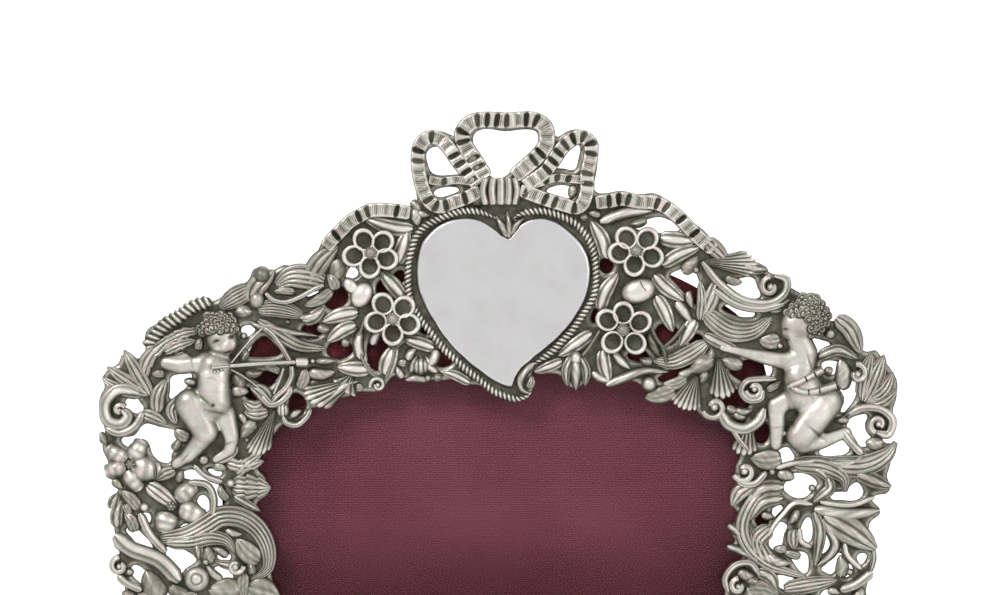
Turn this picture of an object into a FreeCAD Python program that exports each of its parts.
"""A heart shaped photo frame: a pierced silver front on a velvet covered wooden frame,
with glass, silk, a lift-out back held by turn buttons, and a hinged strut behind."""
import FreeCAD, Part
import Sketcher
import math
import os

os.makedirs("parts", exist_ok=True)
doc = FreeCAD.newDocument("heart_photo_frame")
Vec = FreeCAD.Vector

# Named sizes. Lengths are in millimetres and angles in degrees.
sizes = {
    "mount_width": 200.0,
    "lean_angle": 12.0,
    "mount_thick": 2.4,
    "heart_plate_rise": 1.2,
    "rope_rise": 2.4,
    "ribbon_rise": 3.2,
    "tail_rise": 2.4,
    "flower_rise": 4.0,
    "petal_foot_radius": 1.9,
    "petal_mouth_radius": 2.8,
    "petal_cup_radius": 1.9,
    "petal_cup_depth": 2.0,
    "flower_boss_radius": 1.5,
    "figure_rise": 4.6,
    "arrow_rise": 2.6,
    "leaf_rise": 2.0,
    "scroll_rise": 2.2,
    "lily_rise": 2.6,
    "shell_rise": 2.4,
    "velvet_thick": 0.6,
    "core_depth": 12.0,
    "rebate_lip": 3.0,
    "glass_thick": 2.0,
    "silk_thick": 0.3,
    "card_thick": 1.0,
    "packing_thick": 2.0,
    "panel_thick": 3.0,
    "insert_play": 0.3,
    "silk_inset": 0.6,
    "pin_shank_radius": 0.35,
    "pin_head_radius": 0.75,
    "pin_head_rise": 0.5,
    "pin_length": 8.0,
    "button_length": 11.0,
    "button_width": 4.2,
    "button_thick": 0.8,
    "button_gap": 0.1,
    "button_hole_radius": 0.85,
    "button_screw_radius": 0.8,
    "button_screw_length": 6.0,
    "screw_head_radius": 1.6,
    "screw_head_rise": 0.7,
    "screw_slot_width": 0.35,
    "screw_slot_depth": 0.35,
    "hinge_width": 24.0,
    "hinge_leaf_thick": 0.8,
    "hinge_leaf_length": 14.0,
    "hinge_barrel_radius": 1.7,
    "hinge_pin_radius": 0.8,
    "hinge_pin_play": 0.05,
    "hinge_pin_overhang": 0.4,
    "hinge_gap": 0.2,
    "hinge_standoff": 0.1,
    "hinge_middle_width": 9.6,
    "hinge_edge_clearance": 2.0,
    "hinge_stop_reach": 4.2,
    "hinge_screw_radius": 0.6,
    "hinge_screw_length": 2.6,
    "hinge_screw_spread": 8.0,
    "hinge_screw_drop": 8.0,
    "hinge_head_radius": 1.2,
    "hinge_head_rise": 0.5,
    "strut_thick": 2.5,
    "strut_opening": 28.0,
    "strut_top_width": 26.0,
    "strut_foot_width": 56.0,
    "strut_velvet_gap": 1.0,
    "strut_velvet_inset": 1.0,
    "cut_overrun": 1.0,
}

# Depths from the front of the silver to the back of the panel, and the sizes that follow.
formulas = {
    "core_back": "=velvet_thick + core_depth",
    "glass_front": "=velvet_thick + rebate_lip",
    "silk_front": "=glass_front + glass_thick",
    "card_front": "=silk_front + silk_thick",
    "packing_front": "=card_front + card_thick",
    "panel_front": "=packing_front + packing_thick",
    "panel_back": "=panel_front + panel_thick",
    "panel_velvet_back": "=panel_back + velvet_thick",
    "hinge_leaf_back": "=panel_velvet_back + hinge_leaf_thick",
    "button_front": "=core_back + button_gap",
    "hinge_axis_depth": "=panel_velvet_back + hinge_standoff + hinge_barrel_radius",
    "strut_front": "=hinge_standoff - hinge_barrel_radius + hinge_standoff",
    "strut_back": "=strut_front + strut_thick",
}

sheet = doc.addObject("Spreadsheet::Sheet", "dims")
for row, (name, value) in enumerate(list(sizes.items()) + list(formulas.items()), 1):
    sheet.set("A%d" % row, name)
    sheet.set("B%d" % row, str(value))
    sheet.setAlias("B%d" % row, name)
doc.recompute()


def size(name):
    return float(getattr(sheet, name))


# The photo's own pixels place every outline. These four name its scale and its centre.
mount_width_pixels = 797.0
centre_column_pixels = 500.0
middle_row_pixels = 600.0
table_row_pixels = 1003.0
scale = size("mount_width") / mount_width_pixels
lean = size("lean_angle")
# The frame leans back on its foot, and the middle of the foot is the origin.
foot_middle = size("core_back") / math.cos(math.radians(lean)) / 2
posture = FreeCAD.Placement(Vec(0, -foot_middle, 0), FreeCAD.Rotation(Vec(1, 0, 0), -lean))

mount_front = -size("mount_thick")


def across(column):
    return (column - centre_column_pixels) * scale


def above(row):
    return (table_row_pixels - row) * scale


def mirrored(points):
    return [(2 * centre_column_pixels - column, row) for column, row in reversed(points)]


# Outlines read off the photo, in its pixels. The rows below its edge are made up.
crest_edge = [
    (417, 198), (413, 175), (412, 160), (413, 151), (415, 141), (420, 135), (430, 131), (440, 130.5),
    (449, 134), (457, 136), (460, 127), (464, 121), (470, 117), (479, 115), (490, 112), (500, 111.5),
    (510, 113), (520, 112), (531, 112), (540, 115), (547, 120), (552, 127), (556, 137), (564, 133),
    (570, 130), (578, 129), (586, 131), (594, 136), (598, 141), (599, 149), (598, 160), (596, 175),
    (595, 191)]
right_edge = [
    (607, 193), (622, 190.6), (639, 194), (654, 193), (663, 197), (669, 200), (677, 206), (685, 214),
    (692, 221), (700, 227), (710, 237), (714, 245), (720, 251), (734, 254), (741, 255), (750, 264),
    (761, 264), (769, 272), (782, 277), (787, 284), (797, 291), (804, 295), (811, 301), (817, 310),
    (821, 315), (829, 320), (834, 321), (842, 315), (849, 317), (855, 324), (860, 332), (862, 344),
    (865, 352), (876, 350), (880, 355), (885, 361), (891, 369), (896, 377), (898, 386), (897, 395),
    (896, 402), (893, 409), (894, 415), (892, 425), (889, 431), (883, 436), (885, 443), (895, 444),
    (895, 455), (891, 461), (890, 467), (887, 476), (890, 484), (890, 490), (886, 494), (877, 495),
    (872, 500), (879, 507), (881, 511), (879, 516), (872, 520), (869, 528), (870, 536), (876, 542),
    (876, 552), (874, 561), (871, 571), (869, 580), (866, 592)]
lower_right_edge = [
    (869, 603), (868, 614), (859, 622), (853, 634), (856, 650), (848, 663), (837, 669), (832, 680),
    (835, 694), (827, 707), (813, 713), (806, 725), (807, 739), (796, 751), (781, 755), (773, 766),
    (773, 780), (760, 793), (745, 797), (735, 808), (732, 821), (716, 831), (701, 835), (691, 846),
    (686, 859), (669, 869), (653, 873), (643, 884), (637, 897), (620, 907), (606, 912), (596, 924),
    (590, 937), (574, 947), (560, 954), (549, 965), (538, 978), (522, 990), (500, 997)]
left_edge = [
    (116, 561), (119, 555), (118, 547), (116, 537), (114, 530), (114, 514), (111, 506), (114, 496),
    (118, 490), (116, 482), (107, 478), (105, 471), (108, 463), (104, 454), (102, 445), (105, 435),
    (103, 424), (99, 410), (99, 400), (102, 392), (105, 386), (102, 380), (104, 374), (110, 368),
    (118, 364), (121, 356), (127, 354), (134, 358), (141, 358), (145, 352), (145, 334), (150, 327),
    (159, 322), (164, 317), (174, 318), (180, 313), (185, 307), (190, 304), (194, 300), (205, 298),
    (212, 301), (220, 298), (229, 290), (241, 284), (249, 280), (252, 271), (261, 267), (274, 270),
    (280, 266), (287, 265), (295, 267), (303, 267), (309, 261), (315, 255), (318, 250), (321, 243),
    (326, 236), (332, 230), (339, 222), (350, 216), (357, 210), (370, 205), (380, 204), (390, 205),
    (400, 207), (411, 206)]
foot_of_left_edge = [(125, 592), (124, 584), (118, 574)]

aperture_left = [
    (495, 394), (480, 386), (470, 385), (455, 380), (436, 381), (425, 380), (411, 382), (403, 377),
    (392, 377), (387, 384), (380, 391), (365, 392), (357, 393), (345, 398), (333, 399), (325, 406),
    (312, 409), (305, 417), (297, 423), (288, 423), (280, 427), (275, 434), (270, 440), (265, 445),
    (263, 453), (258, 460), (258, 470), (265, 477), (267, 484), (270, 490), (265, 497), (257, 503),
    (256, 510), (251, 516), (251, 524), (252, 532), (261, 539), (267, 544), (271, 550), (273, 561),
    (272, 570), (272, 578), (274, 585), (275, 592)]
aperture_right = [
    (533, 371), (547, 374), (559, 375), (567, 385), (575, 389), (583, 385), (589, 379), (596, 376),
    (601, 382), (610, 384), (625, 382), (638, 383), (645, 391), (652, 397), (661, 400), (670, 398),
    (677, 405), (686, 407), (694, 408), (700, 415), (706, 420), (720, 422), (727, 427), (733, 436),
    (739, 447), (740, 456), (735, 468), (736, 480), (733, 488), (730, 497), (733, 507), (739, 515),
    (736, 522), (729, 526), (731, 534), (735, 541), (730, 547), (740, 553), (742, 559), (732, 562),
    (727, 568), (724, 577), (725, 590)]
aperture_lower_right = [
    (722, 606), (714, 630), (708, 640), (700, 655), (694, 675), (682, 690), (668, 700), (660, 715),
    (645, 731), (628, 742), (612, 758), (594, 772), (574, 784), (556, 798), (534, 807), (516, 818),
    (500, 823)]
aperture_tail = [(503, 399), (515, 402), (527, 398), (533, 386)]

board_edge = [
    (238, 572), (228, 540), (221, 495), (223, 450), (231, 400), (246, 356), (268, 323), (294, 306),
    (320, 294), (359, 279), (404, 268), (450, 262), (500, 259), (550, 256), (600, 257), (640, 265),
    (674, 276), (698, 288), (722, 303), (747, 324), (764, 362), (773, 410), (777, 460), (774, 500),
    (770, 540), (764, 580), (750, 640), (728, 700), (700, 750), (665, 800), (625, 848), (585, 890),
    (560, 925), (550, 955)]
board_edge_lower_left = [
    (450, 955), (440, 925), (415, 890), (375, 848), (335, 800), (300, 750), (272, 700), (250, 640)]
foot_left = (450, 1012)
foot_right = (550, 1012)

board_opening = [
    (505, 389), (480, 379), (452, 373), (425, 373), (398, 370), (372, 385), (335, 392), (312, 402),
    (290, 416), (272, 431), (258, 450), (249, 475), (244, 500), (244, 530), (249, 562), (258, 600),
    (272, 640), (295, 680), (328, 720), (372, 760), (420, 793), (460, 816), (500, 832), (540, 816),
    (580, 793), (628, 760), (672, 720), (705, 680), (728, 640), (740, 600), (746, 562), (749, 530),
    (749, 495), (747, 468), (740, 444), (726, 423), (702, 409), (676, 397), (650, 388), (622, 375),
    (590, 369), (560, 367), (533, 372), (520, 386)]
rebate_edge = [
    (500, 358), (455, 357), (425, 357), (392, 358), (355, 370), (322, 382), (296, 397), (277, 411),
    (260, 427), (247, 448), (238, 473), (233, 500), (233, 530), (238, 564), (248, 604), (263, 645),
    (287, 688), (322, 730), (368, 772), (418, 806), (460, 829), (500, 843), (540, 829), (582, 806),
    (632, 772), (678, 730), (713, 688), (737, 645), (750, 604), (756, 564), (758, 530), (758, 495),
    (756, 467), (750, 440), (735, 415), (710, 396), (680, 380), (640, 363), (590, 356), (545, 356)]

# The piercing. Each row is one hole.
holes_left = [
    [(171, 375), (181, 374), (192, 373), (191, 380), (187, 386), (181, 392), (175, 396), (170, 402),
     (167, 405), (169, 395), (170, 387)],
    [(126, 399), (131, 397), (137, 397), (139, 402), (144, 407), (142, 412), (138, 414), (132, 412),
     (126, 411), (125, 405)],
    [(144, 424), (150, 424), (159, 427), (170, 429), (177, 431), (181, 433), (179, 441), (175, 449),
     (171, 455), (171, 462), (163, 463), (156, 459), (152, 454), (150, 447), (146, 440), (141, 439),
     (135, 441), (131, 447), (127, 447), (122, 443), (120, 438), (130, 437), (136, 434), (140, 428)],
    [(181, 473), (194, 470), (199, 474), (206, 480), (215, 484), (222, 486), (225, 492), (224, 504),
     (219, 509), (216, 502), (212, 492), (204, 485), (192, 480), (183, 478)],
    [(203, 466), (208, 467), (215, 470), (221, 470), (221, 476), (215, 476), (208, 472)],
    [(197, 500), (201, 495), (206, 496), (209, 502), (209, 510), (208, 516), (205, 518), (203, 513),
     (200, 507)],
    [(138, 512), (144, 513), (150, 513), (151, 519), (150, 525), (145, 523), (141, 518)],
    [(177, 534), (184, 524), (192, 524), (201, 525), (197, 529), (189, 532)],
    [(126, 528), (135, 527), (140, 532), (149, 541), (153, 548), (154, 552), (149, 550), (137, 544),
     (129, 535)],
    [(168, 545), (176, 547), (186, 551), (194, 556), (197, 560), (190, 566), (184, 570), (180, 575),
     (176, 570), (170, 562), (166, 556)],
    [(216, 558), (220, 553), (227, 553), (231, 556), (229, 561), (221, 560)],
    [(212, 568), (220, 566), (228, 566), (230, 571), (233, 576), (232, 582), (226, 586), (222, 582),
     (216, 574)],
    [(133, 565), (139, 566), (145, 571), (148, 577), (148, 587), (143, 585), (136, 580), (131, 573)],
    [(276, 303), (287, 304), (300, 300), (315, 294), (320, 290), (317, 287), (305, 293), (293, 299)],
    [(355, 267), (358, 276), (350, 279), (341, 282), (346, 275)],
    [(241, 328), (248, 325), (256, 328), (253, 333), (245, 337)],
    [(246, 353), (256, 341), (265, 336), (273, 343), (281, 353), (262, 357)],
    [(251, 376), (262, 372), (279, 372), (275, 381), (268, 387), (255, 380)],
    [(244, 390), (254, 388), (266, 394), (270, 400), (256, 401), (246, 397)],
    [(295, 393), (304, 398), (306, 407), (300, 415), (291, 414), (289, 402)],
    [(301, 330), (308, 323), (318, 323), (324, 330), (316, 337), (306, 337)],
    [(327, 349), (335, 340), (346, 341), (353, 349), (345, 358), (333, 358)],
    [(367, 352), (372, 339), (382, 338), (388, 347), (387, 362), (378, 371), (369, 365)],
    [(304, 374), (309, 369), (315, 370), (316, 376), (310, 379)],
    [(420, 330), (424, 326), (429, 329), (428, 334), (423, 334)],
    [(433, 356), (440, 349), (451, 351), (454, 360), (446, 367), (436, 365)],
    [(324, 300), (331, 289), (343, 287), (348, 297), (341, 307), (329, 309)],
    [(376, 288), (381, 280), (388, 281), (391, 289), (386, 296), (379, 295)],
    [(393, 277), (397, 271), (403, 271), (405, 279), (400, 283), (395, 282)]]
holes_crest = [
    [(473, 140), (474, 134), (479, 130), (491, 129), (502, 131), (510, 131), (520, 129.5), (531, 129.5),
     (537, 132), (538, 141), (535, 149), (529, 155), (522, 160), (514, 166), (510, 172), (504, 177),
     (494, 178), (488, 173), (482, 164), (476, 154)],
    [(426, 155), (428, 150), (433, 147), (441, 147), (447, 151), (454, 158), (461, 166), (468, 173),
     (460, 174), (448, 175), (437, 175), (431, 172), (428, 165)],
    [(433, 193), (437, 189), (446, 187), (456, 187), (463, 189), (455, 193), (446, 196), (438, 197)],
    [(569, 146), (574, 144), (580, 145), (580, 152), (578, 161), (575, 170), (569, 169.5), (560, 168),
     (553, 168), (557, 162), (563, 153)],
    [(545, 190), (555, 186), (563, 185), (571, 187), (574, 191), (572, 197), (563, 198), (552, 195)]]
holes_right = [
    [(634, 226), (644, 221), (652, 218), (661, 217), (669, 220), (675, 223), (682, 231), (675, 231),
     (660, 233), (654, 231), (646, 230), (639, 230)],
    [(670, 273), (679, 270), (687, 267), (692, 268), (696, 273), (699, 281), (700, 293), (698, 305),
     (690, 298), (680, 288)],
    [(723, 285), (731, 282), (742, 278), (750, 277), (755, 279), (757, 286), (760, 292), (761, 297),
     (749, 298), (739, 294), (729, 289)],
    [(807, 338), (812, 337), (824, 341), (831, 343), (831, 346), (825, 350), (816, 355), (812, 350)],
    [(821, 363), (826, 361), (835, 361), (842, 365), (840, 371), (830, 375), (825, 371)],
    [(840, 386), (846, 380), (851, 377), (855, 379), (856, 387), (856, 396), (851, 405), (844, 413),
     (837, 419), (840, 411), (844, 404), (844, 396)],
    [(847, 424), (851, 418), (860, 415), (869, 414), (866, 421), (865, 427), (868, 434), (872, 438),
     (870, 444), (865, 447), (859, 446), (852, 439), (848, 431)],
    [(818, 452), (825, 447), (835, 442), (841, 440), (848, 444), (850, 450), (844, 455), (836, 456),
     (824, 456)],
    [(778, 451), (783, 448), (789, 447), (792, 452), (796, 459), (789, 462), (779, 464)],
    [(791, 474), (799, 473), (809, 475), (816, 480), (818, 484), (814, 488), (810, 494), (804, 498),
     (795, 498), (788, 494), (783, 488), (787, 481)],
    [(830, 497), (836, 492), (843, 492), (848, 489), (854, 483), (858, 482), (862, 487), (864, 492),
     (861, 498), (852, 501), (840, 500)],
    [(772, 508), (780, 505), (788, 502), (784, 508), (777, 515), (773, 518)],
    [(777, 525), (782, 522), (788, 526), (785, 532), (783, 542), (780, 549), (773, 550), (769, 545),
     (768, 537), (772, 530)],
    [(801, 530), (804, 521), (809, 516), (812, 522), (813, 532), (811, 541), (807, 544), (802, 540)],
    [(826, 531), (831, 537), (830, 546), (825, 553), (819, 555), (821, 549), (825, 541)],
    [(791, 555), (796, 552), (804, 552), (808, 555), (809, 565), (807, 574), (802, 573), (796, 566)],
    [(820, 569), (830, 561), (837, 554), (842, 551), (843, 554), (838, 565), (834, 573), (830, 575),
     (825, 572)],
    [(842, 571), (845, 566), (849, 563), (853, 568), (851, 575), (847, 578), (843, 576)],
    [(857, 556), (862, 553), (868, 555), (866, 560), (861, 566), (858, 561)],
    [(774, 574), (785, 576), (797, 581), (791, 588), (787, 590), (780, 588), (777, 582)],
    [(600, 262), (606, 257), (612, 260), (613, 268), (607, 274), (601, 270)],
    [(592, 313), (596, 309), (600, 313), (599, 321), (593, 323)],
    [(655, 332), (661, 324), (671, 325), (679, 333), (673, 344), (661, 345)],
    [(689, 338), (694, 334), (702, 336), (703, 343), (696, 347), (690, 344)],
    [(627, 355), (635, 351), (647, 353), (649, 358), (641, 361), (631, 360)],
    [(658, 378), (670, 370), (686, 362), (697, 359), (694, 368), (680, 376), (667, 383)],
    [(722, 307), (733, 304), (748, 308), (757, 315), (744, 317), (729, 313)],
    [(730, 368), (742, 361), (758, 360), (772, 366), (770, 376), (755, 382), (738, 379)],
    [(716, 396), (726, 390), (740, 391), (750, 401), (743, 411), (728, 409)],
    [(753, 428), (759, 421), (767, 424), (769, 435), (763, 444), (755, 440)],
    [(756, 517), (762, 514), (768, 518), (767, 525), (758, 525)]]

# The made-up holes of the lower half: centre, length, width and turn, for the right side.
lower_drops = [
    (825, 602, 26, 13, 70), (795, 612, 30, 14, 40), (757, 606, 24, 12, 60), (826, 638, 26, 12, 60),
    (784, 652, 34, 15, 50), (744, 648, 26, 12, 75), (803, 684, 30, 14, 40), (762, 690, 30, 13, 60),
    (722, 684, 26, 12, 60), (772, 722, 34, 14, 40), (728, 726, 28, 13, 50), (690, 722, 24, 11, 45),
    (738, 762, 32, 14, 40), (690, 768, 30, 13, 40), (650, 762, 24, 11, 40), (700, 802, 32, 14, 38),
    (650, 806, 30, 13, 35), (604, 796, 24, 11, 35), (656, 842, 32, 14, 38), (602, 840, 30, 13, 30),
    (556, 828, 24, 11, 25), (612, 878, 30, 13, 36), (556, 874, 28, 13, 20), (568, 916, 28, 12, 36),
    (526, 902, 24, 11, 80), (536, 948, 22, 11, 50)]


full_share = 1.0
drop_swell_share = 0.35


def drop(centre_column, centre_row, length, width, turn):
    points = []
    for step in range(10):
        angle = 2 * math.pi * step / 10
        along = math.cos(angle) * length / 2
        swell = full_share + drop_swell_share * math.cos(angle)
        aside = math.sin(angle) * width / 2 * swell
        turned = math.radians(turn)
        column = centre_column + along * math.cos(turned) - aside * math.sin(turned)
        row = centre_row - along * math.sin(turned) - aside * math.cos(turned)
        points.append((column, row))
    return points


lower_holes = []
for values in lower_drops:
    shape = drop(*values)
    lower_holes.append(shape)
    lower_holes.append(mirrored(shape))

# Small nails through the silver, read as lying on plain ground between the motifs.
pin_places = [
    (288, 322), (288, 364), (247, 440), (228, 520), (738, 336), (712, 352), (766, 500), (762, 552),
    (342, 775), (658, 775), (415, 862), (585, 862), (483, 928), (517, 928), (440, 283), (560, 275)]


def placed(points, depth=0.0):
    return [Vec(across(column), depth, above(row)) for column, row in points]


def marks_along(ring):
    marks = [0.0]
    for first, second in zip(ring, ring[1:]):
        marks.append(marks[-1] + math.sqrt((second - first).Length))
    return marks


def curve_through(vectors, closed=True, marks=None):
    marks = marks or marks_along(vectors + vectors[:1] if closed else vectors)
    curve = Part.BSplineCurve()
    if closed:
        curve.interpolate(Points=vectors, PeriodicFlag=True, Parameters=marks)
    else:
        curve.interpolate(Points=vectors, Parameters=marks)
    return curve


def flat(points):
    return [Vec(across(column), above(row), 0) for column, row in points]


def split_ring(vectors, count, marks=None):
    """A closed outline as a few spline arcs, each ending on one of its points."""
    whole = curve_through(vectors, True, marks)
    whole.setNotPeriodic()
    knots = marks or marks_along(vectors + vectors[:1])
    stops = [knots[round(number * (len(knots) - 1) / count)] for number in range(count + 1)]
    arcs = []
    for first, last in zip(stops, stops[1:]):
        arc = whole.copy()
        arc.segment(first, last)
        arcs.append(arc)
    return arcs


# Bodies built from sketches. A front sketch looks along the face's depth.
def plane_of(body, role):
    return [item for item in body.Origin.OriginFeatures if item.Role == role][0]


def new_body(name):
    body = doc.addObject("PartDesign::Body", name)
    body.Label = name
    return body


def sketch_on(body, role, name, offset):
    sketch = body.newObject("Sketcher::SketchObject", name)
    sketch.AttachmentSupport = [(plane_of(body, role), "")]
    sketch.MapMode = "FlatFace"
    sketch.setExpression("AttachmentOffset.Base.z", offset)
    return sketch


def add_curve(sketch, points):
    for arc in split_ring(flat(points), max(2, len(points) // 12)):
        sketch.addGeometry(arc, False)


def add_chain(sketch, corners):
    ring = corners + corners[:1]
    for first, second in zip(ring, ring[1:]):
        start = Vec(first[0], first[1], 0)
        sketch.addGeometry(Part.LineSegment(start, Vec(second[0], second[1], 0)), False)


def add_ring(sketch, column, row, radius_name):
    circle = Part.Circle(Vec(column, row, 0), Vec(0, 0, 1), size(radius_name))
    number = sketch.addGeometry(circle, False)
    index = sketch.addConstraint(Sketcher.Constraint("Radius", number, size(radius_name)))
    sketch.setExpression("Constraints[%d]" % index, "dims." + radius_name)


def pad(body, sketch, name, length, reverse=True):
    feature = body.newObject("PartDesign::Pad", name)
    feature.Profile = sketch
    feature.setExpression("Length", length)
    feature.Reversed = reverse
    return feature


def pocket(body, sketch, name, length, reverse=False):
    feature = body.newObject("PartDesign::Pocket", name)
    feature.Profile = sketch
    feature.setExpression("Length", length)
    feature.Reversed = reverse
    return feature


pieces = []
groups = {}


def finish_piece(item, name, placement=None, group="frame"):
    item.Label = name
    item.Placement = placement if placement else posture
    pieces.append(item)
    groups[name] = group
    return item


# The pierced silver sheet, from its outer edge, its opening, its holes and its nail holes.
mount_edge = (crest_edge + right_edge + lower_right_edge + mirrored(lower_right_edge)[1:]
              + foot_of_left_edge + left_edge)
mount_opening = (aperture_left[::-1] + aperture_tail + aperture_right + aperture_lower_right
                 + mirrored(aperture_lower_right)[1:])
openwork = new_body("openwork_mount")
openwork_lines = sketch_on(openwork, "XZ_Plane", "openwork_lines", "dims.mount_thick")
add_curve(openwork_lines, mount_edge)
add_curve(openwork_lines, mount_opening)
for hole in holes_crest + holes_left + holes_right + lower_holes:
    add_curve(openwork_lines, hole)
for place in pin_places:
    add_ring(openwork_lines, across(place[0]), above(place[1]), "pin_shank_radius")
pad(openwork, openwork_lines, "openwork_sheet", "dims.mount_thick")

# The wooden frame, with an opening in front, a wider rebate behind and a bevelled foot.
foot_reach = above(foot_left[1])


def add_board_edge(sketch, inset):
    upper = [Vec(across(c), above(r), 0) for c, r in board_edge]
    lower = [Vec(across(c), above(r), 0) for c, r in board_edge_lower_left]
    middle = Vec(0, above(middle_row_pixels), 0)
    ring = []
    chain = lower + upper
    for number, point in enumerate(chain):
        before = chain[max(number - 1, 0)]
        after = chain[min(number + 1, len(chain) - 1)]
        along = (after - before).normalize()
        inward = Vec(along.y, -along.x, 0)
        if inward.dot(middle - point) < 0:
            inward = inward * -1
        ring.append(point + inward * inset)
    ring[0].x = across(foot_left[0]) + inset
    ring[-1].x = across(foot_right[0]) - inset
    sketch.addGeometry(curve_through(ring, closed=False), False)
    left_foot = Vec(ring[0].x, foot_reach, 0)
    right_foot = Vec(ring[-1].x, foot_reach, 0)
    sketch.addGeometry(Part.LineSegment(ring[-1], right_foot), False)
    sketch.addGeometry(Part.LineSegment(right_foot, left_foot), False)
    sketch.addGeometry(Part.LineSegment(left_foot, ring[0]), False)


def bevel_foot(body, name):
    """Cuts the foot along the table, which slopes across the leaning frame."""
    sketch = sketch_on(body, "YZ_Plane", name + "_lines", "dims.mount_width / 2")
    tilt = math.tan(math.radians(lean))
    near = -size("core_depth")
    far = 3 * size("core_depth")
    low = foot_reach * 3
    add_chain(sketch, [(near, near * tilt), (far, far * tilt), (far, low), (near, low)])
    return pocket(body, sketch, name, "dims.mount_width")


core = new_body("backing_frame")
core_lines = sketch_on(core, "XZ_Plane", "core_lines", "-dims.velvet_thick")
add_board_edge(core_lines, size("velvet_thick"))
add_curve(core_lines, board_opening)
for place in pin_places:
    add_ring(core_lines, across(place[0]), above(place[1]), "pin_shank_radius")
pad(core, core_lines, "core_board", "dims.core_depth")
rebate_lines = sketch_on(core, "XZ_Plane", "rebate_lines", "-dims.core_back")
add_curve(rebate_lines, rebate_edge)
pocket(core, rebate_lines, "core_rebate", "dims.core_back - dims.glass_front", True)

velvet = new_body("frame_velvet")
velvet_lines = sketch_on(velvet, "XZ_Plane", "velvet_lines", "0")
add_board_edge(velvet_lines, 0.0)
add_curve(velvet_lines, board_opening)
for place in pin_places:
    add_ring(velvet_lines, across(place[0]), above(place[1]), "pin_shank_radius")
pad(velvet, velvet_lines, "velvet_cover", "dims.core_back")
hollow_lines = sketch_on(velvet, "XZ_Plane", "hollow_lines", "-dims.core_back")
add_board_edge(hollow_lines, size("velvet_thick"))
pocket(velvet, hollow_lines, "velvet_hollow", "dims.core_depth", True)
bevel_foot(core, "core_bevel")
bevel_foot(velvet, "velvet_bevel")

# What lies in the rebate, from the glass to the panel, each sheet with a little play.

def inset_points(points, inset):
    ring = flat(points)
    result = []
    for number, point in enumerate(ring):
        along = (ring[(number + 1) % len(ring)] - ring[number - 1]).normalize()
        inward = Vec(along.y, -along.x, 0)
        if inward.dot(Vec(0, above(middle_row_pixels), 0) - point) < 0:
            inward = inward * -1
        result.append(point + inward * inset)
    return result


def rebate_sheet(name, front, thick, inset):
    body = new_body(name)
    sketch = sketch_on(body, "XZ_Plane", name + "_lines", "-dims." + front)
    for arc in split_ring(inset_points(rebate_edge, inset), 4):
        sketch.addGeometry(arc, False)
    pad(body, sketch, name + "_sheet", "dims." + thick)
    return body


play = size("insert_play")
glass = rebate_sheet("glass_pane", "glass_front", "glass_thick", play)
silk = rebate_sheet("silk_facing", "silk_front", "silk_thick", play + size("silk_inset"))
card = rebate_sheet("insert_card", "card_front", "card_thick", play)
packing = rebate_sheet("packing_board", "packing_front", "packing_thick", play)
panel = rebate_sheet("back_panel", "panel_front", "panel_thick", play)
panel_velvet = rebate_sheet("back_panel_velvet", "panel_back", "velvet_thick", play)

# The turn buttons: pivot place and the direction towards the panel, in photo pixels.
button_places = {
    "turn_button_upper_left": ((287, 372), (1, 1)),
    "turn_button_upper_right": ((720, 372), (-1, 1)),
    "turn_button_lower_left": ((312, 742), (1, -1)),
    "turn_button_lower_right": ((688, 742), (-1, -1))}
for place, towards in button_places.values():
    hole_lines = sketch_on(core, "XZ_Plane", "button_hole_lines", "-dims.core_back")
    add_ring(hole_lines, across(place[0]), above(place[1]), "button_screw_radius")
    pocket(core, hole_lines, "button_hole", "dims.button_screw_length", True)

hinge_pixel_row = 477
hinge_row = above(hinge_pixel_row)
fixed_screws = [(-size("hinge_screw_spread"), hinge_row + size("hinge_screw_drop")),
                (size("hinge_screw_spread"), hinge_row + size("hinge_screw_drop"))]
for column, row in fixed_screws:
    hole_lines = sketch_on(panel, "XZ_Plane", "panel_hole_lines", "-dims.panel_back")
    add_ring(hole_lines, column, row, "hinge_screw_radius")
    pocket(panel, hole_lines, "panel_hole", "dims.hinge_screw_length", True)
    hole_lines = sketch_on(panel_velvet, "XZ_Plane", "velvet_hole_lines", "-dims.panel_back")
    add_ring(hole_lines, column, row, "hinge_screw_radius")
    pocket(panel_velvet, hole_lines, "velvet_hole", "dims.velvet_thick")

finish_piece(openwork, "openwork_mount")
for body in (core, velvet, glass, silk, card, packing, panel, panel_velvet):
    finish_piece(body, body.Name)


def primitive(kind, name, placement, **bound):
    item = doc.addObject("Part::" + kind, name)
    for key, formula in bound.items():
        item.setExpression(key, formula)
    item.Placement = placement
    return item


def joined(name, items):
    item = doc.addObject("Part::MultiFuse", name)
    item.Shapes = items
    return item


def trimmed(name, base, tool):
    item = doc.addObject("Part::Cut", name)
    item.Base = base
    item.Tool = tool
    return item


def copies(name, pattern, placements, placement=None, group="frame"):
    """The same fastener at several places, as one piece of the list."""
    doc.recompute()
    shapes = []
    for spot in placements:
        shape = pattern.Shape.copy()
        shape.Placement = spot.multiply(shape.Placement)
        shapes.append(shape)
    item = doc.addObject("Part::Feature", name)
    item.Shape = Part.makeCompound(shapes)
    return finish_piece(item, name, placement, group)


def at(column, depth, row):
    return FreeCAD.Placement(Vec(column, depth, row), FreeCAD.Rotation())


facing_back = FreeCAD.Rotation(Vec(1, 0, 0), -90)
facing_front = FreeCAD.Rotation(Vec(1, 0, 0), 90)


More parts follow.
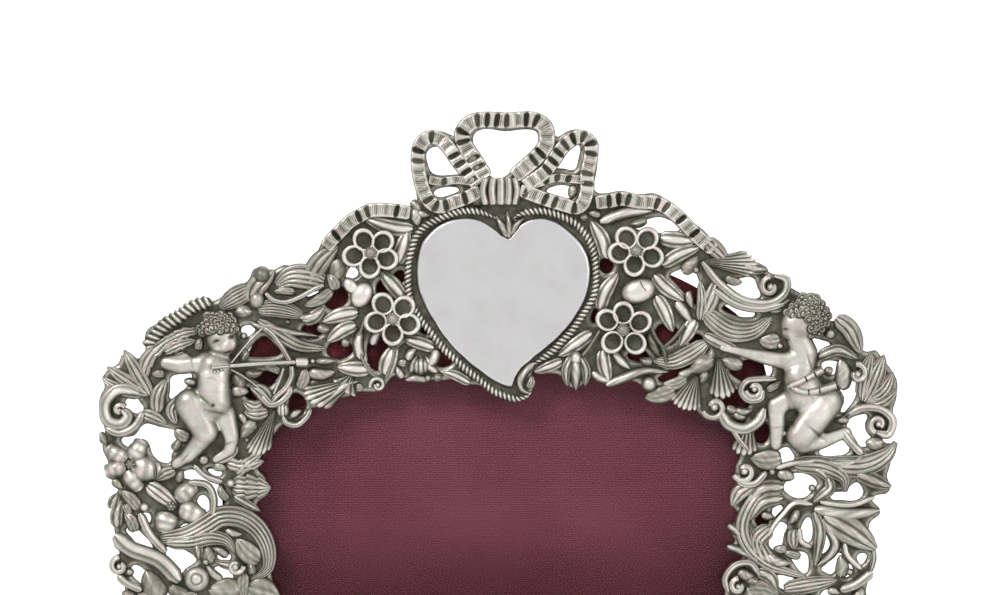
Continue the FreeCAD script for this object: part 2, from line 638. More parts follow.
def screw(name, radius, length, head_radius, head_rise):
    """A slotted screw whose head stands on the origin and faces backwards."""
    head = primitive("Cylinder", name + "_head", FreeCAD.Placement(Vec(0, 0, 0), facing_back),
                     Radius=head_radius, Height=head_rise)
    shank = primitive("Cylinder", name + "_shank", FreeCAD.Placement(Vec(0, 0, 0), facing_front),
                      Radius=radius, Height=length)
    slot = primitive("Box", name + "_slot", FreeCAD.Placement(), Length=head_radius + " * 2",
                     Width="dims.screw_slot_depth", Height="dims.screw_slot_width")
    slot.setExpression("Placement.Base.x", "-1 * " + head_radius)
    slot.setExpression("Placement.Base.y", head_rise + " - dims.screw_slot_depth")
    slot.setExpression("Placement.Base.z", "-0.5 * dims.screw_slot_width")
    return trimmed(name, joined(name + "_blank", [head, shank]), slot)


# Turn buttons on the wood, each with its screw.
def round_ended(sketch, length, width):
    end = width / 2
    reach = length - width
    sketch.addGeometry(Part.LineSegment(Vec(0, end, 0), Vec(reach, end, 0)), False)
    far = Part.Arc(Vec(reach, end, 0), Vec(reach + end, 0, 0), Vec(reach, -end, 0))
    sketch.addGeometry(far, False)
    sketch.addGeometry(Part.LineSegment(Vec(reach, -end, 0), Vec(0, -end, 0)), False)
    sketch.addGeometry(Part.Arc(Vec(0, -end, 0), Vec(-end, 0, 0), Vec(0, end, 0)), False)


button_spots = {}
for name, (place, towards) in button_places.items():
    body = new_body(name)
    sketch = sketch_on(body, "XZ_Plane", name + "_lines", "-dims.button_front")
    round_ended(sketch, size("button_length"), size("button_width"))
    add_ring(sketch, 0, 0, "button_hole_radius")
    pad(body, sketch, name + "_plate", "dims.button_thick")
    turn = math.degrees(math.atan2(towards[1], towards[0]))
    spot = at(across(place[0]), 0, above(place[1]))
    button_spots[name] = spot
    turned = FreeCAD.Placement(Vec(0, 0, 0), FreeCAD.Rotation(Vec(0, 1, 0), turn))
    finish_piece(body, name, posture.multiply(spot).multiply(turned), name)

button_screw = screw("button_screw", "dims.button_screw_radius", "dims.button_screw_length",
                     "dims.screw_head_radius", "dims.screw_head_rise")
head_seat = size("button_front") + size("button_thick") + size("hinge_pin_play")
seats = [spot.multiply(at(0, head_seat, 0)) for spot in button_spots.values()]
copies("turn_button_screws", button_screw, seats)

# The nails that hold the silver to the wood.
nail_shank = primitive("Cylinder", "nail_shank", FreeCAD.Placement(Vec(0, 0, 0), facing_back),
                       Radius="dims.pin_shank_radius", Height="dims.pin_length")
nail_head = primitive("Cone", "nail_head", FreeCAD.Placement(Vec(0, 0, 0), facing_front),
                      Radius1="dims.pin_head_radius", Radius2="dims.pin_shank_radius",
                      Height="dims.pin_head_rise")
nail = joined("nail", [nail_shank, nail_head])
nail_spots = [at(across(c), mount_front, above(r)) for c, r in pin_places]
mount_pins = copies("mount_pins", nail, nail_spots)

# The hinge. Its fixed leaf is on the panel; its moving leaf, pin and stop turn about the pin.
half_width = size("hinge_width") / 2
half_middle = size("hinge_middle_width") / 2
clearance = size("hinge_edge_clearance")
leaf_length = size("hinge_leaf_length")
pivot = Vec(0, size("hinge_axis_depth"), hinge_row)
inner_edge = half_middle + size("hinge_gap")

fixed_leaf = new_body("hinge_fixed_leaf")
leaf_lines = sketch_on(fixed_leaf, "XZ_Plane", "fixed_leaf_lines", "-dims.panel_velvet_back")
add_chain(leaf_lines, [
    (-half_width, hinge_row), (-inner_edge, hinge_row), (-inner_edge, hinge_row + clearance),
    (inner_edge, hinge_row + clearance), (inner_edge, hinge_row), (half_width, hinge_row),
    (half_width, hinge_row + leaf_length), (-half_width, hinge_row + leaf_length)])
for column, row in fixed_screws:
    add_ring(leaf_lines, column, row, "hinge_screw_radius")
pad(fixed_leaf, leaf_lines, "fixed_leaf_plate", "dims.hinge_leaf_thick")
for name, offset in (("left", "-0.5 * dims.hinge_width"),
                     ("right", "0.5 * dims.hinge_middle_width + dims.hinge_gap")):
    ring_lines = sketch_on(fixed_leaf, "YZ_Plane", name + "_knuckle_lines", offset)
    add_ring(ring_lines, pivot.y, pivot.z, "hinge_barrel_radius")
    pad(fixed_leaf, ring_lines, name + "_knuckle",
        "0.5 * dims.hinge_width - 0.5 * dims.hinge_middle_width - dims.hinge_gap", False)
bore_lines = sketch_on(fixed_leaf, "YZ_Plane", "fixed_bore_lines", "0.5 * dims.hinge_width")
add_ring(bore_lines, pivot.y, pivot.z, "hinge_pin_radius")
pocket(fixed_leaf, bore_lines, "fixed_bore", "dims.hinge_width")
finish_piece(fixed_leaf, "hinge_fixed_leaf")

hinge_pin = primitive("Cylinder", "hinge_pin", FreeCAD.Placement(), Radius="dims.hinge_pin_radius",
                      Height="dims.hinge_width + 2 * dims.hinge_pin_overhang")
pin_start = Vec(-half_width - size("hinge_pin_overhang"), pivot.y, pivot.z)
along_pin = FreeCAD.Placement(pin_start, FreeCAD.Rotation(Vec(0, 1, 0), 90))
finish_piece(hinge_pin, "hinge_pin", posture.multiply(along_pin))

hinge_screw = screw("hinge_screw", "dims.hinge_screw_radius", "dims.hinge_screw_length",
                    "dims.hinge_head_radius", "dims.hinge_head_rise")
seats = [at(column, size("hinge_leaf_back"), row) for column, row in fixed_screws]
copies("hinge_fixed_screws", hinge_screw, seats)

# The strut is drawn closed, with the pin's axis as its origin, and stands open on its stop.
opening = FreeCAD.Rotation(Vec(1, 0, 0), size("strut_opening"))
strut_place = posture.multiply(FreeCAD.Placement(pivot, opening))
pivot_height = posture.multVec(pivot).z
strut_tilt = math.radians(size("strut_opening") - lean)
moving_screws = [(-size("hinge_screw_spread"), -size("hinge_screw_drop")),
                 (size("hinge_screw_spread"), -size("hinge_screw_drop"))]

moving_leaf = new_body("hinge_moving_leaf")
leaf_lines = sketch_on(moving_leaf, "XZ_Plane", "moving_leaf_lines", "-dims.strut_back")
add_chain(leaf_lines, [
    (-half_width, -clearance), (-half_middle, -clearance), (-half_middle, 0), (half_middle, 0),
    (half_middle, -clearance), (half_width, -clearance), (half_width, -leaf_length),
    (-half_width, -leaf_length)])
for column, row in moving_screws:
    add_ring(leaf_lines, column, row, "hinge_screw_radius")
pad(moving_leaf, leaf_lines, "moving_leaf_plate", "dims.hinge_leaf_thick")
ring_lines = sketch_on(moving_leaf, "YZ_Plane", "middle_knuckle_lines",
                       "-0.5 * dims.hinge_middle_width")
add_ring(ring_lines, 0, 0, "hinge_barrel_radius")
pad(moving_leaf, ring_lines, "middle_knuckle", "dims.hinge_middle_width", False)
stop_front = size("hinge_leaf_back") - pivot.y
stop_back = size("hinge_gap")
stop_top = size("hinge_stop_reach")
turned_back = FreeCAD.Rotation(Vec(1, 0, 0), -size("strut_opening"))
stop_corners = []
for depth, row in ((stop_front, 0), (stop_back, 0), (stop_back, stop_top), (stop_front, stop_top)):
    corner = turned_back.multVec(Vec(0, depth, row))
    stop_corners.append((corner.y, corner.z))
stop_lines = sketch_on(moving_leaf, "YZ_Plane", "stop_lines", "-0.5 * dims.hinge_middle_width")
add_chain(stop_lines, stop_corners)
pad(moving_leaf, stop_lines, "hinge_stop", "dims.hinge_middle_width", False)
bore_lines = sketch_on(moving_leaf, "YZ_Plane", "moving_bore_lines", "0.5 * dims.hinge_width")
circle = Part.Circle(Vec(0, 0, 0), Vec(0, 0, 1), size("hinge_pin_radius"))
number = bore_lines.addGeometry(circle, False)
loose = size("hinge_pin_radius") + size("hinge_pin_play")
index = bore_lines.addConstraint(Sketcher.Constraint("Radius", number, loose))
bore_lines.setExpression("Constraints[%d]" % index, "dims.hinge_pin_radius + dims.hinge_pin_play")
pocket(moving_leaf, bore_lines, "moving_bore", "dims.hinge_width")
finish_piece(moving_leaf, "hinge_moving_leaf", strut_place, "strut")

strut_reach = pivot_height / math.cos(strut_tilt)


def bevel_strut(body, name):
    sketch = sketch_on(body, "YZ_Plane", name + "_lines", "0.5 * dims.strut_foot_width + dims.cut_overrun")
    slope = math.tan(strut_tilt)
    near = -3 * size("strut_thick")
    far = 3 * size("strut_thick")
    low = -strut_reach - size("core_depth")
    add_chain(sketch, [(near, -strut_reach - near * slope), (far, -strut_reach - far * slope),
                       (far, low), (near, low)])
    return pocket(body, sketch, name, "dims.strut_foot_width + 2 * dims.cut_overrun")


def strut_outline(sketch, top, inset):
    """A tapering strut whose sides flare to a broad foot."""
    half_top = size("strut_top_width") / 2 - inset
    half_foot = size("strut_foot_width") / 2 - inset
    low = -strut_reach - size("strut_thick")
    flare = [(half_top, top), (half_top + 0.08 * (half_foot - half_top), low * 0.35),
             (half_top + 0.34 * (half_foot - half_top), low * 0.68),
             (half_top + 0.74 * (half_foot - half_top), low * 0.9), (half_foot, low)]
    right = [Vec(c, r, 0) for c, r in flare]
    left = [Vec(-c, r, 0) for c, r in flare]
    sketch.addGeometry(curve_through(right, closed=False), False)
    sketch.addGeometry(Part.LineSegment(right[-1], left[-1]), False)
    sketch.addGeometry(curve_through(left[::-1], closed=False), False)
    sketch.addGeometry(Part.LineSegment(left[0], right[0]), False)


strut = new_body("strut_board")
strut_lines = sketch_on(strut, "XZ_Plane", "strut_lines", "-dims.strut_front")
strut_outline(strut_lines, -clearance, 0.0)
for column, row in moving_screws:
    add_ring(strut_lines, column, row, "hinge_screw_radius")
pad(strut, strut_lines, "strut_plate", "dims.strut_thick")
bevel_strut(strut, "strut_bevel")
finish_piece(strut, "strut_board", strut_place, "strut")

strut_cover = new_body("strut_velvet")
cover_lines = sketch_on(strut_cover, "XZ_Plane", "cover_lines", "-dims.strut_back")
strut_outline(cover_lines, -leaf_length - size("strut_velvet_gap"), size("strut_velvet_inset"))
pad(strut_cover, cover_lines, "cover_sheet", "dims.velvet_thick")
bevel_strut(strut_cover, "cover_bevel")
finish_piece(strut_cover, "strut_velvet", strut_place, "strut")

seats = [at(column, size("strut_back") + size("hinge_leaf_thick"), row)
         for column, row in moving_screws]
copies("hinge_moving_screws", hinge_screw, seats, strut_place, "strut")

# The raised work on the silver. Each motif has a flat back on the sheet and a bevelled front.
# A spine is given in photo pixels, from root to tip, with its width.
motif_steps = 9
leaf_root_share = 0.45
leaf_swell_share = 0.22
fan_bow_share = 0.22
scallop_share = 0.07


def spine_points(points):
    if len(points) == 2:
        first, last = points
        middle = ((first[0] + last[0]) / 2, (first[1] + last[1]) / 2)
        points = [first, middle, last]
    curve = curve_through(placed(points), closed=False)
    return curve.discretize(motif_steps)


def strip_outline(points, width, kind, share):
    """The outline of a motif that follows a spine, drawn in to a share of its width."""
    line = spine_points(points)
    left, right = [], []
    for number, point in enumerate(line):
        before = line[max(number - 1, 0)]
        after = line[min(number + 1, len(line) - 1)]
        along = (after - before).normalize()
        aside = Vec(-along.z, 0, along.x)
        part_way = number / (len(line) - 1)
        half = width * scale * share / 2
        if kind == "leaf":
            swelling = min(part_way + leaf_swell_share, full_share)
            half = half * (leaf_root_share + (full_share - leaf_root_share)
                           * math.sin(math.pi * swelling))
        if number in (0, len(line) - 1):
            half = half * 0.6
            step = width * scale * (1 - share) / 2
            point = point + along * (step if number == 0 else -step)
        left.append(point + aside * half)
        right.append(point - aside * half)
    if kind == "leaf":
        tip = line[-1] - (line[-1] - line[-2]).normalize() * (width * scale * (1 - share) / 2)
        return left[:-1] + [tip] + right[:-1][::-1]
    return left + right[::-1]


def raised(outline_low, outline_high, rise):
    low = [Vec(p.x, mount_front, p.z) for p in outline_low]
    high = [Vec(p.x, mount_front - rise, p.z) for p in outline_high]
    marks = marks_along(low + low[:1])
    faces = []
    rings = [split_ring(ring, 4, marks) for ring in (low, high)]
    for below, top in zip(*rings):
        rows = [list(pair) for pair in zip(below.getPoles(), top.getPoles())]
        side = Part.BSplineSurface()
        side.buildFromPolesMultsKnots(rows, below.getMultiplicities(), [2, 2], below.getKnots(),
                                      [0.0, 1.0], False, False, below.Degree, 1)
        faces.append(side.toShape())
    for ring in rings:
        faces.append(Part.Face(Part.Wire([arc.toShape() for arc in ring])))
    shell = Part.makeShell(faces)
    shell.sewShape()
    solid = Part.makeSolid(shell)
    if solid.Volume < 0:
        solid.reverse()
    return solid


def strip(points, width, kind, rise, share=0.5):
    low = strip_outline(points, width, kind, 1.0)
    high = strip_outline(points, width, kind, share)
    return raised(low, high, rise)


def ball(place, radius, rise):
    """A low dome."""
    radius = radius * scale
    low = Part.makeCylinder(radius, rise * 0.45, Vec(across(place[0]), mount_front, above(place[1])),
                            Vec(0, -1, 0))
    top = Part.makeCone(radius, radius * 0.5, rise * 0.55,
                        Vec(across(place[0]), mount_front - rise * 0.45, above(place[1])),
                        Vec(0, -1, 0))
    return low.fuse(top)


def fan(apex, start, end, ribs, rise):
    """A ribbed shell, scalloped along its edge from start to end."""
    def outline(share):
        steps = ribs * 3
        points = []
        for number in range(steps + 1):
            part_way = number / steps
            column = start[0] + (end[0] - start[0]) * part_way
            row = start[1] + (end[1] - start[1]) * part_way
            bow = math.sin(math.pi * part_way) * fan_bow_share
            bump = full_share + bow - (scallop_share if number % 3 == 0 else 0)
            reach = bump * share
            points.append((apex[0] + (column - apex[0]) * reach, apex[1] + (row - apex[1]) * reach))
        middle = ((start[0] + end[0]) / 2, (start[1] + end[1]) / 2)
        root = [(apex[0] + (point[0] - apex[0]) * 0.12 * share,
                 apex[1] + (point[1] - apex[1]) * 0.12 * share) for point in (end, start)]
        shift = (middle[0] - apex[0]) * (1 - share) * 0.5, (middle[1] - apex[1]) * (1 - share) * 0.5
        return [(c + shift[0], r + shift[1]) for c, r in points + root]
    return raised(placed(outline(1.0)), placed(outline(0.62)), rise)


pins_flat = mount_pins.Shape.copy()
pins_flat.Placement = FreeCAD.Placement()
taken = [pins_flat]
# A scrap thinner than this share of the sheet's thickness, cubed, isn't kept.
scrap_share = 0.5
smallest_scrap = (size("mount_thick") * scrap_share) ** 3


def clear_of_taken(shape):
    """What is left of a motif where those already placed don't cover it."""
    for other in taken:
        if shape.BoundBox.intersect(other.BoundBox):
            for solid in other.Solids:
                if shape.BoundBox.intersect(solid.BoundBox):
                    shape = shape.cut(solid)
    return [solid for solid in shape.Solids if solid.Volume > smallest_scrap]


def motif_piece(name, shapes):
    """One piece made of motifs that are joined where they meet."""
    solids = []
    for shape in shapes:
        solids.extend(clear_of_taken(shape))
    whole = solids[0]
    if len(solids) > 1:
        whole = solids[0].multiFuse(solids[1:])
    kept = [solid for solid in whole.Solids if solid.Volume > smallest_scrap]
    item = doc.addObject("Part::Feature", name)
    item.Shape = Part.makeCompound(kept) if len(kept) > 1 else kept[0]
    taken.append(item.Shape.copy())
    return finish_piece(item, name)


def bands(rows, rise_name, share=0.5):
    return [strip(points, width, "band", size(rise_name), share) for width, points in rows]


def leaves(rows, rise_name, share=0.4):
    return [strip(points, width, "leaf", size(rise_name), share) for width, points in rows]


# The ribbon bow of the crest, from its knot outwards, and its two tails.
motif_piece("bow_knot", bands([(27, [(501, 180), (500, 192), (500, 205)])], "ribbon_rise", 0.7))
motif_piece("bow_centre_loop", bands([(14, [
    (484, 176), (474, 160), (466, 147), (462, 136), (467, 126), (476, 121), (490, 120), (505, 122),
    (520, 120), (533, 120), (544, 126), (546, 137), (544, 147), (536, 157), (525, 166),
    (514, 176)])], "ribbon_rise", 0.6))
motif_piece("bow_left_loop", bands([
    (12, [(478, 184), (468, 172), (457, 158), (448, 146), (439, 138), (428, 138), (420, 146),
          (418, 158), (419, 172), (423, 189), (429, 202), (438, 207), (450, 204), (465, 199),
          (482, 197)]),
    (8, [(429, 180), (442, 182), (456, 180), (469, 179)])], "ribbon_rise", 0.6))
motif_piece("bow_right_loop", bands([
    (12, [(520, 181), (534, 178), (545, 172), (553, 160), (563, 147), (575, 138), (585, 138),
          (590, 146), (589, 160), (586, 175), (586, 190), (583, 203), (576, 209), (564, 207),
          (550, 204), (536, 201), (521, 199)])], "ribbon_rise", 0.6))

# Four flowers. Each petal is a cup on a cone, around a small boss.
flower_spots = {
    "flower_upper_left": ((371, 253), [(365, 241), (383, 244), (384, 260), (367, 265), (355, 254)]),
    "flower_lower_left": ((393, 320), [(383, 307), (404, 310), (408, 325), (391, 333), (376, 321)]),
    "flower_upper_right": ((636, 250), [(628, 238), (647, 241), (651, 258), (633, 264), (620, 252)]),
    "flower_lower_right": ((622, 329), [(606, 320), (623, 315), (640, 323), (634, 341), (612, 340)])}
for name, (middle, petals) in flower_spots.items():
    cones, cups = [], []
    for number, place in enumerate(petals):
        root = Vec(across(place[0]), mount_front, above(place[1]))
        cones.append(primitive("Cone", "%s_petal" % name, FreeCAD.Placement(root, facing_front),
                               Radius1="dims.petal_foot_radius", Radius2="dims.petal_mouth_radius",
                               Height="dims.flower_rise"))
        floor = root + Vec(0, -size("flower_rise") + size("petal_cup_depth"), 0)
        cup = primitive("Cone", "%s_cup" % name, FreeCAD.Placement(floor, facing_front),
                        Radius1="dims.petal_cup_radius * 0.5", Radius2="dims.petal_cup_radius",
                        Height="dims.petal_cup_depth")
        cups.append(cup)
    centre = Vec(across(middle[0]), mount_front, above(middle[1]))
    boss = primitive("Cylinder", "%s_boss" % name, FreeCAD.Placement(centre, facing_front),
                     Radius="dims.flower_boss_radius", Height="dims.flower_rise")
    flower = trimmed(name, joined(name + "_whole", cones + [boss]), joined(name + "_cups", cups))
    doc.recompute()
    taken.append(flower.Shape.copy())
    finish_piece(flower, name)

# The heart for engraving: its twisted border with the curled tail, and its polished plate.
motif_piece("heart_rope_border", bands([
    (8, [(497, 218), (491, 216), (480, 212), (466, 211), (455, 213), (436, 220), (422, 229),
         (415, 239), (412, 249), (409, 260), (408, 270), (408, 282), (409, 295), (412, 305),
         (418, 315), (424, 324), (429, 329), (436, 339), (445, 350), (456, 360), (466, 369),
         (476, 377), (487, 386), (495, 391), (505, 395), (517, 397), (526, 393)]),
    (8, [(506, 223), (512, 219), (521, 214), (530, 211.6), (542, 211), (555, 214), (565, 218),
         (575, 223), (582, 230), (589, 240), (593, 250), (595, 258), (596, 270), (596, 282),
         (594, 295), (590, 304), (585, 312), (579, 321), (571, 332), (562, 341), (555, 349),
         (546, 356), (537, 362), (529, 369), (521, 377)])], "rope_rise", 0.45))
heart_edge = [
    (508, 238), (514, 229), (524, 221), (535, 218), (548, 218), (561, 223), (574, 232), (582, 241),
    (588, 255), (590, 270), (589, 282), (586, 295), (580, 307), (573, 317), (565, 328), (553, 340),
    (541, 350), (530, 359), (520, 367), (512, 374), (502, 383), (488, 376), (476, 366), (463, 354),
    (451, 342), (441, 327), (429, 314), (421, 300), (417, 285), (416, 270), (419, 250), (425, 237),
    (441, 226), (456, 221), (470, 220), (482, 222), (492, 227), (500, 233)]
heart_middle = (503, 296)
heart_top = [(heart_middle[0] + (c - heart_middle[0]) * 0.975,
              heart_middle[1] + (r - heart_middle[1]) * 0.975) for c, r in heart_edge]
motif_piece("heart_plate", [raised(placed(heart_edge), placed(heart_top), size("heart_plate_rise"))])

motif_piece("ribbon_tail_left", bands([(13, [
    (409, 214), (395, 211), (382, 210), (370, 211), (360, 216), (350, 222), (342, 230), (333, 239),
    (323, 252), (314, 266), (306, 279)])], "tail_rise", 0.6))
motif_piece("ribbon_tail_right", bands([(13, [
    (599, 204), (610, 201), (622, 199), (639, 202), (654, 203), (665, 207), (677, 216), (688, 227),
    (700, 239), (714, 250)])], "tail_rise", 0.6))

def limb(start, start_radius, end, end_radius, rise):
    """A rounded limb lying on the sheet, between two round ends."""
    shapes = []
    ends = []
    for place, radius in ((start, start_radius), (end, end_radius)):
        radius = radius * scale
        middle = Vec(across(place[0]), mount_front - rise + radius, above(place[1]))
        ends.append((middle, radius))
        shapes.append(Part.makeSphere(radius, middle))
    along = ends[1][0] - ends[0][0]
    if along.Length > abs(ends[0][1] - ends[1][1]) + smallest_gap:
        lean_in = (ends[0][1] - ends[1][1]) / along.Length
        shrink = math.sqrt(1 - lean_in ** 2)
        base = ends[0][0] + along.normalize() * (ends[0][1] * lean_in)
        top = ends[1][0] + along * (ends[1][1] * lean_in)
        first, second = ends[0][1] * shrink, ends[1][1] * shrink
        length = (top - base).Length
        if abs(first - second) < smallest_gap:
            shapes.append(Part.makeCylinder(first, length, base, along))
        else:
            shapes.append(Part.makeCone(first, second, length, base, along))
    return shapes[0].multiFuse(shapes[1:]) if len(shapes) > 1 else shapes[0]


smallest_gap = scale / 10
figure_rise = size("figure_rise")


def figure(name, limbs):
    parts = [limb(a, ra, b, rb, figure_rise * lift) for a, ra, b, rb, lift in limbs]
    whole = parts[0].multiFuse(parts[1:])
    reach = size("mount_width")
    front_half = Part.makeBox(reach * 2, reach, reach * 2, Vec(-reach, mount_front - reach, -reach))
    return motif_piece(name, [whole.common(front_half)])


# The two winged children, drawn as rounded limbs: end, radius, end, radius, share of the rise.
figure("putto_left", [
    ((222, 338), 16, (224, 342), 14, 1.0), ((213, 326), 9, (228, 318), 9, 0.9),
    ((212, 368), 17, (214, 396), 20, 1.0), ((192, 366), 8, (166, 363), 6, 0.75),
    ((196, 364), 9, (192, 366), 8, 0.8), ((228, 366), 7, (240, 364), 5, 0.8),
    ((196, 408), 16, (206, 434), 12, 1.0), ((203, 438), 9, (180, 460), 6, 0.8),
    ((226, 412), 14, (234, 440), 9, 0.85), ((234, 444), 7, (224, 455), 5, 0.7),
    ((180, 345), 9, (166, 338), 7, 0.6)])
figure("putto_right", [
    ((798, 320), 17, (796, 324), 15, 1.0), ((814, 310), 10, (806, 304), 9, 0.9),
    ((806, 352), 15, (802, 386), 19, 1.0), ((808, 357), 10, (778, 358), 7, 0.85),
    ((778, 358), 7, (730, 348), 4, 0.7), ((820, 398), 16, (800, 434), 15, 1.0),
    ((814, 446), 8, (842, 433), 6, 0.7), ((786, 402), 12, (778, 438), 7, 0.85)])
motif_piece("bow_and_arrow", bands([
    (4.5, [(246, 364), (270, 363), (292, 362.5), (334, 361)]),
    (5, [(264, 328), (275, 339), (285, 352), (290, 363), (284, 380), (277, 391), (272, 401)])],
    "arrow_rise", 0.5))

# Leaves, buds and lilies of the left side.
motif_piece("leaf_sprays_left", leaves([
    (13, [(411, 226), (400, 229), (385, 227), (366, 222)]),
    (14, [(398, 262), (403, 247), (407, 232)]), (12, [(401, 296), (393, 285), (382, 273)]),
    (22, [(363, 310), (361, 297), (352, 283)]), (12, [(351, 313), (340, 315), (323, 321)]),
    (11, [(354, 326), (343, 330), (329, 340)]), (9, [(360, 358), (358, 343), (361, 330)]),
    (13, [(369, 369), (355, 369), (339, 368)]), (11, [(385, 374), (388, 362), (394, 348)]),
    (11, [(434, 347), (420, 343), (405, 340)]), (9, [(469, 382), (455, 375), (441, 371)])],
    "leaf_rise") + [ball((421, 364), 8, size("leaf_rise")), ball((378, 386), 7, size("leaf_rise"))])
motif_piece("lilies_left", leaves([
    (15, [(130, 464), (119, 456), (110, 449)]), (15, [(131, 463), (138, 456), (144, 449)]),
    (14, [(129, 466), (119, 469), (110, 472)]), (15, [(130, 468), (129, 476), (128, 485)]),
    (14, [(133, 466), (142, 468), (151, 471)]), (16, [(150, 488), (163, 494), (176, 505)]),
    (14, [(170, 516), (182, 503), (190, 490)]), (14, [(168, 517), (180, 516), (191, 513)])],
    "lily_rise") + [ball((145, 503), 5, size("lily_rise")),
                    ball((130, 465), 6, size("lily_rise") * 1.2)])
motif_piece("shells_left", [
    fan((276, 384), (244, 430), (276, 420), 5, size("shell_rise")),
    fan((352, 376), (312, 402), (340, 394), 5, size("shell_rise")),
    fan((322, 262), (284, 290), (312, 284), 4, size("shell_rise"))]
    + leaves([(15, [(256, 312), (280, 312), (300, 316), (320, 308)]),
              (13, [(262, 326), (278, 333), (298, 344), (320, 346)])], "shell_rise"))
motif_piece("acanthus_left", leaves([
    (10, [(210, 303), (195, 307), (180, 317), (165, 326), (152, 340)]),
    (16, [(222, 305), (234, 298), (246, 290)]), (18, [(252, 300), (262, 290), (270, 276)]),
    (13, [(141, 377), (150, 359), (164, 344), (177, 335)]), (13, [(150, 392), (137, 371), (125, 353)]),
    (12, [(146, 392), (126, 379), (109, 370)]), (11, [(140, 394), (122, 389), (104, 382)]),
    (13, [(158, 411), (159, 396), (166, 381)]), (11, [(143, 414), (154, 417), (166, 424)]),
    (16, [(228, 462), (241, 466), (262, 462)]), (17, [(229, 486), (246, 486), (266, 487)]),
    (10, [(235, 480), (247, 474), (261, 471)]), (10, [(235, 494), (245, 500), (256, 499)]),
    (9, [(112, 507), (114, 501), (117, 494)]), (10, [(117, 526), (117, 514), (120, 502)]),
    (15, [(166, 541), (190, 540), (212, 541), (232, 547)])], "leaf_rise"))
motif_piece("scrolls_left", bands([
    (12, [(134, 392), (115, 391), (105, 404), (108, 419), (119, 423)]),
    (8, [(110, 431), (122, 432), (134, 425)]), (6, [(189, 483), (207, 486), (214, 497), (214, 513)]),
    (8, [(141, 519), (150, 534), (163, 548)]), (14, [(117, 537), (131, 549), (159, 560), (176, 578)]),
    (9, [(120, 576), (127, 583), (140, 589)]), (9, [(236, 525), (249, 522), (261, 543), (268, 559),
                                                    (260, 573), (247, 576)]),
    (5, [(195, 465), (206, 476), (221, 482)]), (8, [(262, 410), (278, 402), (291, 388)])],
    "scroll_rise") + [ball((120, 564), 8, size("scroll_rise")), ball((198, 578), 12, size("scroll_rise")),
                      ball((236, 566), 6, size("scroll_rise"))])

# The same of the right side.
motif_piece("leaf_sprays_right", leaves([
    (10, [(601, 221), (625, 213), (650, 211)]), (13, [(605, 256), (601, 240), (593, 225)]),
    (12, [(601, 307), (605, 292), (616, 277)]), (22, [(622, 290), (637, 290), (654, 290)]),
    (13, [(662, 240), (676, 241), (694, 241)]), (12, [(664, 263), (680, 254), (698, 248)]),
    (11, [(656, 276), (665, 286), (680, 297)]), (11, [(656, 300), (664, 310), (672, 322)]),
    (8, [(680, 306), (690, 320)]), (12, [(590, 334), (575, 345), (562, 354)]),
    (8, [(559, 362), (548, 366), (537, 370)]), (24, [(580, 360), (576, 373), (572, 388)]),
    (11, [(603, 352), (604, 364), (608, 380)]), (8, [(616, 354), (621, 361), (628, 367)]),
    (9, [(611, 383), (628, 377), (645, 372), (664, 373)]), (13, [(704, 346), (690, 354), (672, 361),
                                                           (658, 361)]),
    (10, [(692, 323), (687, 333), (682, 342)])], "leaf_rise")
    + [ball((649, 385), 7, size("leaf_rise"))])
motif_piece("shells_right", [
    fan((690, 362), (668, 394), (696, 404), 5, size("shell_rise")),
    fan((716, 357), (712, 386), (728, 384), 3, size("shell_rise")),
    fan((748, 410), (736, 440), (752, 446), 3, size("shell_rise")),
    fan((748, 520), (746, 558), (768, 556), 4, size("shell_rise")),
    fan((696, 270), (738, 256), (744, 276), 4, size("shell_rise"))]
    + leaves([(16, [(866, 396), (878, 380), (888, 362)]), (14, [(864, 392), (866, 375), (871, 357)]),
              (14, [(868, 400), (882, 395), (896, 388)])], "shell_rise"))
motif_piece("acanthus_right", leaves([
    (14, [(839, 320), (850, 332), (859, 350)]), (10, [(821, 358), (838, 352), (854, 358)]),
    (14, [(848, 466), (868, 458), (892, 449)]), (14, [(848, 472), (868, 470), (888, 468)]),
    (14, [(850, 480), (870, 482), (888, 488)]), (13, [(811, 464), (829, 470), (842, 478)]),
    (13, [(814, 508), (842, 506), (876, 511)]), (14, [(816, 514), (842, 520), (872, 532)]),
    (13, [(816, 522), (838, 534), (866, 546)]), (12, [(754, 560), (744, 540), (741, 517), (737, 500)]),
    (11, [(746, 528), (752, 506), (766, 494), (784, 492)]), (11, [(787, 518), (798, 506)]),
    (11, [(787, 548), (797, 534)]), (15, [(788, 588), (812, 584), (834, 582)]),
    (12, [(706, 312), (712, 296), (716, 282)])], "leaf_rise"))
motif_piece("scrolls_right", bands([
    (9, [(851, 412), (868, 407), (886, 412), (889, 426), (880, 432)]), (8, [(843, 432), (851, 443),
                                                                   (860, 452)]),
    (8, [(712, 286), (738, 302), (764, 304), (774, 296)]), (8, [(748, 380), (758, 394), (776, 384)]),
    (10, [(706, 416), (722, 419), (740, 424), (754, 416)]), (7, [(760, 576), (748, 562), (732, 566),
                                                         (728, 580), (738, 590)]),
    (9, [(842, 588), (858, 582), (868, 572)])], "scroll_rise")
    + [ball((744, 472), 9, size("scroll_rise")), ball((859, 374), 8, size("scroll_rise") * 1.2),
       ball((716, 406), 8, size("scroll_rise"))])

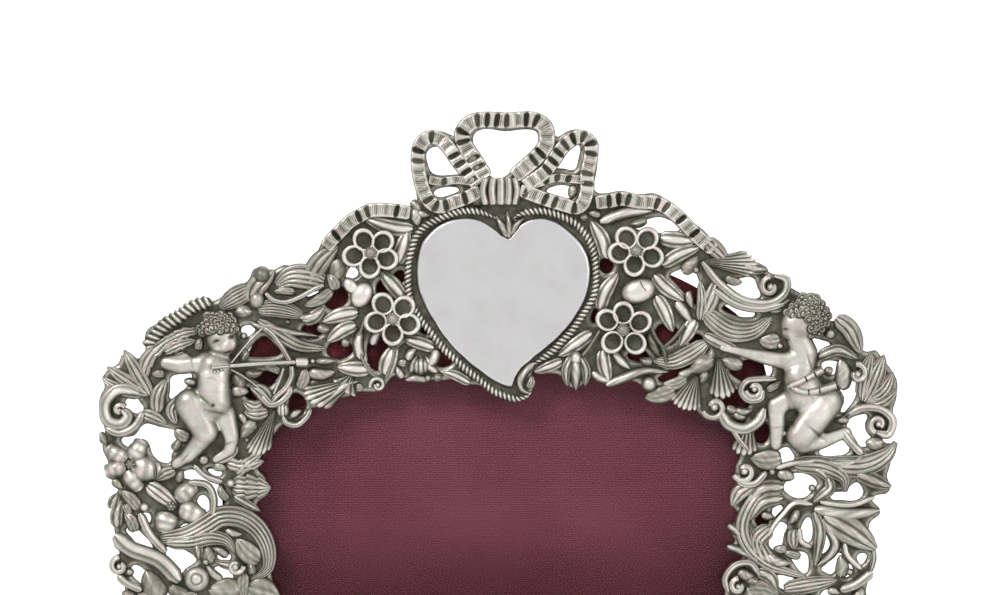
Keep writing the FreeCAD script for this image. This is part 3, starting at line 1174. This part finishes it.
# The made-up lower half, the same on both sides.
lower_leaf_rows = [
    (14, [(842, 604), (852, 618), (852, 632)]), (14, [(806, 626), (822, 628), (842, 648)]),
    (13, [(770, 634), (776, 622), (784, 606)]), (14, [(812, 662), (828, 664), (842, 656)]),
    (13, [(786, 676), (800, 668), (812, 654)]), (14, [(800, 706), (814, 698), (828, 688)]),
    (13, [(746, 706), (748, 690), (744, 672)]), (14, [(776, 744), (790, 736), (802, 730)]),
    (13, [(708, 744), (712, 728), (710, 706)]), (14, [(744, 786), (756, 778), (768, 768)]),
    (13, [(668, 786), (672, 770), (670, 750)]), (14, [(706, 824), (720, 816), (732, 810)]),
    (13, [(626, 822), (628, 806), (624, 788)]), (14, [(664, 862), (678, 854), (690, 846)]),
    (12, [(578, 858), (580, 842), (576, 822)]), (13, [(618, 900), (632, 892), (642, 886)]),
    (12, [(532, 884), (534, 866), (532, 846)]), (13, [(578, 940), (590, 930), (602, 922)])]
lower_scroll_rows = [
    (9, [(836, 626), (812, 618), (806, 640), (822, 646)]),
    (9, [(824, 716), (794, 712), (776, 700), (780, 680)]),
    (9, [(758, 760), (750, 738), (752, 722), (740, 706)]),
    (9, [(722, 792), (716, 778), (720, 760), (712, 744)]),
    (9, [(684, 828), (676, 812), (678, 796), (672, 786)]),
    (9, [(640, 866), (632, 852), (634, 836), (626, 824)]),
    (9, [(592, 902), (584, 890), (584, 874), (578, 860)]),
    (8, [(552, 934), (540, 924), (542, 906), (534, 888)])]


def both_ways(rows, flip):
    if not flip:
        return rows
    return [(width, [(2 * centre_column_pixels - c, r) for c, r in points]) for width, points in rows]


for side, flip in (("right", False), ("left", True)):
    motif_piece("lower_leaves_" + side, leaves(both_ways(lower_leaf_rows, flip), "leaf_rise"))
    motif_piece("lower_scrolls_" + side, bands(both_ways(lower_scroll_rows, flip), "scroll_rise"))
motif_piece("lower_shell", [fan((500, 932), (474, 978), (526, 978), 5, size("shell_rise"))])

# Every piece is checked and then written.
doc.recompute()
for item in doc.Objects:
    if "Invalid" in item.State or "Error" in item.State:
        raise RuntimeError("%s did not compute" % item.Label)
names = [item.Label for item in pieces]
if len(names) != len(set(names)):
    raise RuntimeError("two pieces share a name")
for item in pieces:
    shape = item.Shape
    if shape.isNull() or not shape.isValid() or not shape.Solids:
        raise RuntimeError("%s has no valid solid" % item.Label)
    shape.exportStep("parts/%s.step" % item.Label)
print("%d pieces, groups: %s" % (len(pieces), sorted(set(groups.values()))))
